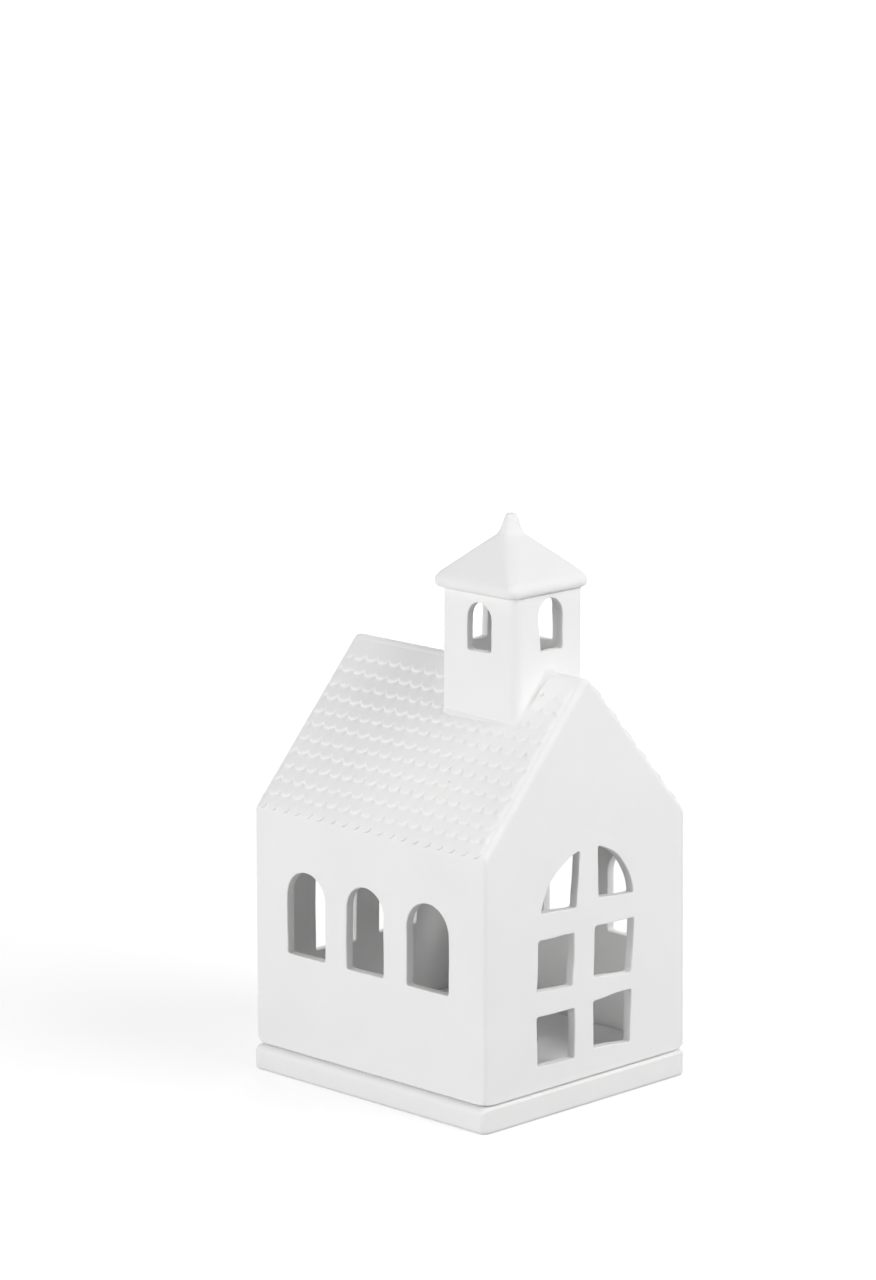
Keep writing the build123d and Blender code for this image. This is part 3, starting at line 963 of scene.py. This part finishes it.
def base_slab(material):
    """The slab with its platform and the tealight's well."""
    top = BASE_HIGH.z
    rings = [slab_ring(inset, drop) for inset, drop in rounded_step(BASE_BOTTOM_RADIUS)[::-1]]
    rings += [shoulder_ring(angle) for angle in quarter_turn(SHOULDER_STEPS)]
    rings.append(platform_ring(0, BASE_RIM))
    rings += [platform_ring(inset, top - drop) for inset, drop in rounded_step(PLATFORM_EDGE)]
    rings += [well_ring(-inset, top - drop) for inset, drop in rounded_step(WELL_EDGE)[::-1]]
    rings += [well_ring(inset, CUP_LOW.z + drop) for inset, drop in rounded_step(WELL_CORNER)]
    base = loft("base_slab", rings)
    shade(base, material)
    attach(base, "base")
    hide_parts("base_plate")


# Tealight
def lathe(name, profile, segments=96):
    """A solid turned about the middle, from radius and height pairs."""
    turns = full_turn(segments)
    rings = []
    for radius, height in profile:
        rings.append([Vector((radius * math.cos(turn), radius * math.sin(turn), height)) for turn in turns])
    return loft(name, rings)


def tealight_cup(material):
    """The thin cup with its raised floor and rolled rim."""
    radius = CUP_HIGH.x
    low = CUP_LOW.z
    high = CUP_HIGH.z
    profile = (
        (AXIS_RADIUS, low + 0.5), (radius - 3.2, low + 0.5), (radius - 2.6, low), (radius - 0.9, low),
        (radius - 0.5, low + 0.25), (radius - 0.3, low + 0.8), (radius - 0.3, high - 1.4),
        (radius - 0.12, high - 1.15), (radius, high - 0.75), (radius - 0.1, high - 0.3),
        (radius - 0.4, high), (radius - 0.68, high - 0.25), (radius - 0.75, high - 0.7),
        (radius - 0.7, high - 1.2), (radius - 0.7, low + 1.2), (radius - 1.2, low + 0.4),
        (radius - 2.5, low + 0.4), (radius - 3.1, low + 0.9), (AXIS_RADIUS, low + 0.9),
    )
    cup = lathe("tealight_tin", profile)
    shade(cup, material, sharp_from=60)
    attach(cup, "tealight")
    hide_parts("tealight_cup")


def tealight_wax(material):
    """The wax, whose top is a little higher at the cup and at the wick."""
    radius = WAX_HIGH.x
    low = WAX_LOW.z
    high = WAX_HIGH.z
    wick = WICK_HIGH.x
    profile = (
        (AXIS_RADIUS, low + 0.6), (radius - 1.6, low + 0.6), (radius - 0.9, low + 1.1),
        (radius - 0.6, low + 2.0), (radius - 0.1, high - 3.0), (radius, high - 0.5),
        (radius - 0.15, high - 0.15), (radius - 0.7, high - 0.35), (radius - 2.4, high - 0.6),
        (radius - 8, high - 0.75), (wick + 3.2, high - 0.7), (wick + 1.4, high - 0.5),
        (wick + 0.5, high - 0.15), (wick + 0.2, high), (AXIS_RADIUS, high),
    )
    wax = lathe("tealight_wax_fill", profile)
    shade(wax, material, sharp_from=60)
    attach(wax, "tealight")
    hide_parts("tealight_wax")


def tealight_wick(material):
    """The twisted wick with its rounded end."""
    rings = []
    for level in range(WICK_LEVELS + 1):
        share = level / WICK_LEVELS
        height = WICK_LOW.z + (WICK_HIGH.z - WICK_LOW.z) * share
        blunt = math.sqrt(min(1.0, WICK_END + (1 - share) * WICK_END_GROWTH))
        twist = WICK_TURNS * share * math.tau
        ring = []
        for angle in full_turn(WICK_POINTS):
            strand = 1 - STRAND_DEPTH + STRAND_DEPTH * math.cos(WICK_STRANDS * angle - twist)
            radius = WICK_HIGH.x * strand * blunt
            ring.append(Vector((radius * math.cos(angle), radius * math.sin(angle), height)))
        rings.append(ring)
    wick = loft("tealight_wick_cord", rings)
    shade(wick, material, sharp_from=70)
    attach(wick, "tealight")
    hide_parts("tealight_wick")


# Materials
def set_inputs(owner, node, inputs):
    """Sets a node's inputs to values, or links them to the outputs of other nodes."""
    for name, value in inputs.items():
        if isinstance(value, bpy.types.NodeSocket):
            owner.node_tree.links.new(value, node.inputs[name])
        else:
            node.inputs[name].default_value = value


def add_node(owner, kind, inputs):
    """A new node of a material or a world, with its inputs set."""
    node = owner.node_tree.nodes.new(kind)
    set_inputs(owner, node, inputs)
    return node


def new_material(name):
    """A node material, its shader and an object-space coordinate."""
    material = bpy.data.materials.new(name)
    material.use_nodes = True
    nodes = material.node_tree.nodes
    return material, nodes["Principled BSDF"], nodes.new("ShaderNodeTexCoord").outputs["Object"]


def noise(owner, coordinate, feature, detail=3.0, roughness=0.5):
    """Soft noise with features of about that size in millimetres."""
    inputs = {"Vector": coordinate, "Scale": 1 / (feature * MM), "Detail": detail, "Roughness": roughness}
    return add_node(owner, "ShaderNodeTexNoise", inputs).outputs["Fac"]


def spread(owner, value, low, high, start=0.3, end=0.7):
    """A value from start to end turned into one from low to high."""
    inputs = {"Value": value, "From Min": start, "From Max": end, "To Min": low, "To Max": high}
    return add_node(owner, "ShaderNodeMapRange", inputs).outputs["Result"]


def mix(owner, share, first, second):
    """Two colours mixed by a share."""
    inputs = {"Fac": share, "Color1": first, "Color2": second}
    return add_node(owner, "ShaderNodeMixRGB", inputs).outputs["Color"]


def calculated(owner, operation, first, second):
    """Two values multiplied, or the larger of them, as the operation says."""
    node = add_node(owner, "ShaderNodeMath", {0: first, 1: second})
    node.operation = operation
    return node.outputs["Value"]


def bump(owner, height, depth, strength, below=None):
    """Surface relief of that depth in millimetres from a height of 0 to 1, over another relief."""
    inputs = {"Height": height, "Distance": depth * MM, "Strength": strength}
    if below:
        inputs["Normal"] = below
    return add_node(owner, "ShaderNodeBump", inputs).outputs["Normal"]


def pinhole_shade_mask(owner, coordinate, spacing=9.0, chosen=0.8, inner=0.018, outer=0.034):
    """1 in a few small round specks scattered over the surface, 0 elsewhere; these specks take the painted
    shade of pinhole pits.
    """
    cells = add_node(owner, "ShaderNodeTexVoronoi", {"Vector": coordinate, "Scale": 1 / (spacing * MM)})
    speck = spread(owner, cells.outputs["Distance"], 1.0, 0.0, inner, outer)
    split = add_node(owner, "ShaderNodeSeparateColor", {"Color": cells.outputs["Color"]})
    few = spread(owner, split.outputs["Red"], 0.0, 1.0, chosen, chosen + 0.01)
    return calculated(owner, "MULTIPLY", speck, few)


def porcelain():
    """Unglazed white porcelain: matt, finely grained, with slow unevenness and a few pinhole pits, which are
    not dented into the surface but painted as dark specks of shade.
    """
    material, shader, coordinate = new_material("white_porcelain")
    cloud = spread(material, noise(material, coordinate, feature=22, detail=2), 0, 1)
    clean = mix(material, cloud, *PORCELAIN_SHADES)
    grain = noise(material, coordinate, feature=0.5, detail=4, roughness=0.6)
    slow = bump(material, noise(material, coordinate, feature=9, detail=2), depth=0.25, strength=0.35)
    set_inputs(material, shader, {
        # Dark specks of painted shade where pinhole pits would be; the surface has no pits
        "Base Color": mix(material, pinhole_shade_mask(material, coordinate), clean, PINHOLE_SHADE),
        "Roughness": spread(material, grain, 0.52, 0.7),
        "Normal": bump(material, grain, depth=0.06, strength=0.35, below=slow),
        "Specular IOR Level": 0.35,
    })
    return material


def drawn_metal(name, dull, bright, feature):
    """Thin drawn metal with faint drawing marks."""
    material, shader, coordinate = new_material(name)
    marks = noise(material, coordinate, feature, detail=5, roughness=0.65)
    set_inputs(material, shader, {
        "Base Color": mix(material, spread(material, marks, 0, 1), dull, bright),
        "Roughness": spread(material, marks, 0.24, 0.42),
        "Normal": bump(material, marks, depth=0.05, strength=0.4),
        "Metallic": 1.0,
    })
    return material


def candle_wax():
    """White paraffin wax: soft, slightly translucent, with a faint bloom."""
    material, shader, coordinate = new_material("white_wax")
    bloom = noise(material, coordinate, feature=3, detail=4)
    dents = noise(material, coordinate, feature=2.2, detail=3)
    set_inputs(material, shader, {
        "Base Color": mix(material, spread(material, bloom, 0, 1), *WAX_SHADES),
        "Roughness": spread(material, bloom, 0.3, 0.48),
        "Normal": bump(material, dents, depth=0.12, strength=0.4),
        "Subsurface Weight": 0.35,
        "Subsurface Radius": (1.0, 0.9, 0.75),
        "Subsurface Scale": 2 * MM,
    })
    return material


def cotton():
    """Waxed white cotton."""
    material, shader, coordinate = new_material("waxed_cotton")
    fibre = noise(material, coordinate, feature=0.25, detail=5, roughness=0.7)
    set_inputs(material, shader, {
        "Base Color": mix(material, spread(material, fibre, 0, 1), *COTTON_SHADES),
        "Roughness": spread(material, fibre, 0.6, 0.9),
        "Normal": bump(material, fibre, depth=0.08, strength=0.7),
    })
    return material


# Stage
def background_ray(owner):
    """1 for a ray that shows the background: straight from the camera, mirrored or passed through."""
    path = owner.node_tree.nodes.new("ShaderNodeLightPath")
    value = path.outputs["Is Camera Ray"]
    for name in ("Is Glossy Ray", "Is Transmission Ray"):
        value = calculated(owner, "MAXIMUM", value, path.outputs[name])
    return value


def shown_to_camera(owner, otherwise, shown):
    """One shader where the background is seen, and another for all other light."""
    inputs = {"Fac": background_ray(owner), 1: otherwise, 2: shown}
    return add_node(owner, "ShaderNodeMixShader", inputs).outputs["Shader"]


def matt_grey(owner, grey):
    """A matt shader of one grey."""
    return add_node(owner, "ShaderNodeBsdfDiffuse", {"Color": (grey, grey, grey, 1)}).outputs["BSDF"]


def floor_material():
    """Matt pale floor that looks white, with the object's shadow on it."""
    material, shader, coordinate = new_material("studio_floor")
    nodes = material.node_tree.nodes
    nodes.remove(shader)
    distance = add_node(material, "ShaderNodeVectorMath", {0: coordinate})
    distance.operation = "LENGTH"
    strength = spread(material, distance.outputs["Value"], *FLOOR_GLOW, *FLOOR_GLOW_REACH)
    glow = add_node(material, "ShaderNodeEmission", {"Strength": strength})
    lit = matt_grey(material, SEEN_FLOOR_GREY)
    seen = add_node(material, "ShaderNodeAddShader", {0: lit, 1: glow.outputs["Emission"]})
    surface = shown_to_camera(material, matt_grey(material, FLOOR_GREY), seen.outputs["Shader"])
    set_inputs(material, nodes["Material Output"], {"Surface": surface})
    return material


def floor():
    """The floor, which belongs to the stage."""
    mesh = bmesh.new()
    bmesh.ops.create_grid(mesh, x_segments=1, y_segments=1, size=FLOOR_HALF)
    data = bpy.data.meshes.new("floor")
    mesh.to_mesh(data)
    mesh.free()
    data.materials.append(floor_material())
    plane = bpy.data.objects.new("floor", data)
    bpy.context.scene.collection.objects.link(plane)


def world(horizon, zenith):
    """A soft studio dome with its strengths at the horizon and overhead, white where it is seen."""
    dome = bpy.data.worlds.new("studio")
    dome.use_nodes = True
    bpy.context.scene.world = dome
    nodes = dome.node_tree.nodes
    light = nodes["Background"]
    direction = nodes.new("ShaderNodeTexCoord").outputs["Generated"]
    split = add_node(dome, "ShaderNodeSeparateXYZ", {"Vector": direction})
    strength = spread(dome, split.outputs["Z"], horizon, zenith, 0, 1)
    set_inputs(dome, light, {"Color": WHITE, "Strength": strength})
    seen = add_node(dome, "ShaderNodeBackground", {"Color": WHITE})
    surface = shown_to_camera(dome, light.outputs["Background"], seen.outputs["Background"])
    set_inputs(dome, nodes["World Output"], {"Surface": surface})


def softbox(name, place, watts):
    """A large square lamp that faces the house; its place is in metres."""
    lamp = bpy.data.lights.new(name, "AREA")
    lamp.size = LAMP_SIZE
    lamp.energy = watts
    box = bpy.data.objects.new(name, lamp)
    bpy.context.scene.collection.objects.link(box)
    box.location = place
    box.rotation_euler = (LAMP_AIM - Vector(place)).to_track_quat("-Z", "Y").to_euler()


def camera():
    """The photograph's viewpoint."""
    level = math.cos(CAMERA_TILT)
    right = math.sin(CAMERA_AZIMUTH) * level
    behind = -math.cos(CAMERA_AZIMUTH) * level
    back = Vector((right, behind, math.sin(CAMERA_TILT)))
    lens = bpy.data.cameras.new("photo_view")
    lens.sensor_width = SENSOR_WIDTH
    lens.lens = FOCAL_LENGTH
    lens.clip_end = CAMERA_REACH
    view = bpy.data.objects.new("photo_view", lens)
    bpy.context.scene.collection.objects.link(view)
    view.location = CAMERA_PLACE
    view.rotation_euler = back.to_track_quat("Z", "Y").to_euler()
    bpy.context.scene.camera = view


white = porcelain()
chapel_body(white)
tower_body(white)
tower_roof(white)
base_slab(white)
tealight_cup(drawn_metal("cup_aluminium", *ALUMINIUM_SHADES, feature=0.8))
tealight_wax(candle_wax())
tealight_wick(cotton())
clip = frame["nodes"]["wick_clip"]
clip.data.materials.clear()
clip.data.materials.append(drawn_metal("clip_tinplate", *TINPLATE_SHADES, feature=0.4))

bpy.context.scene.view_settings.view_transform = "Standard"
floor()
world(horizon=0.2, zenith=0.26)
softbox("key_light", (0.34, -0.94, 0.84), 9.4)
softbox("front_light", (0, -1.1, 0.6), 2)
softbox("left_light", (-1.3, 0.15, 0.25), 8.8)
softbox("left_back_light", (-1.1, 0.7, 0.3), 4.1)
softbox("back_light", (0.9, 0.9, 0.4), 6.8)
camera()
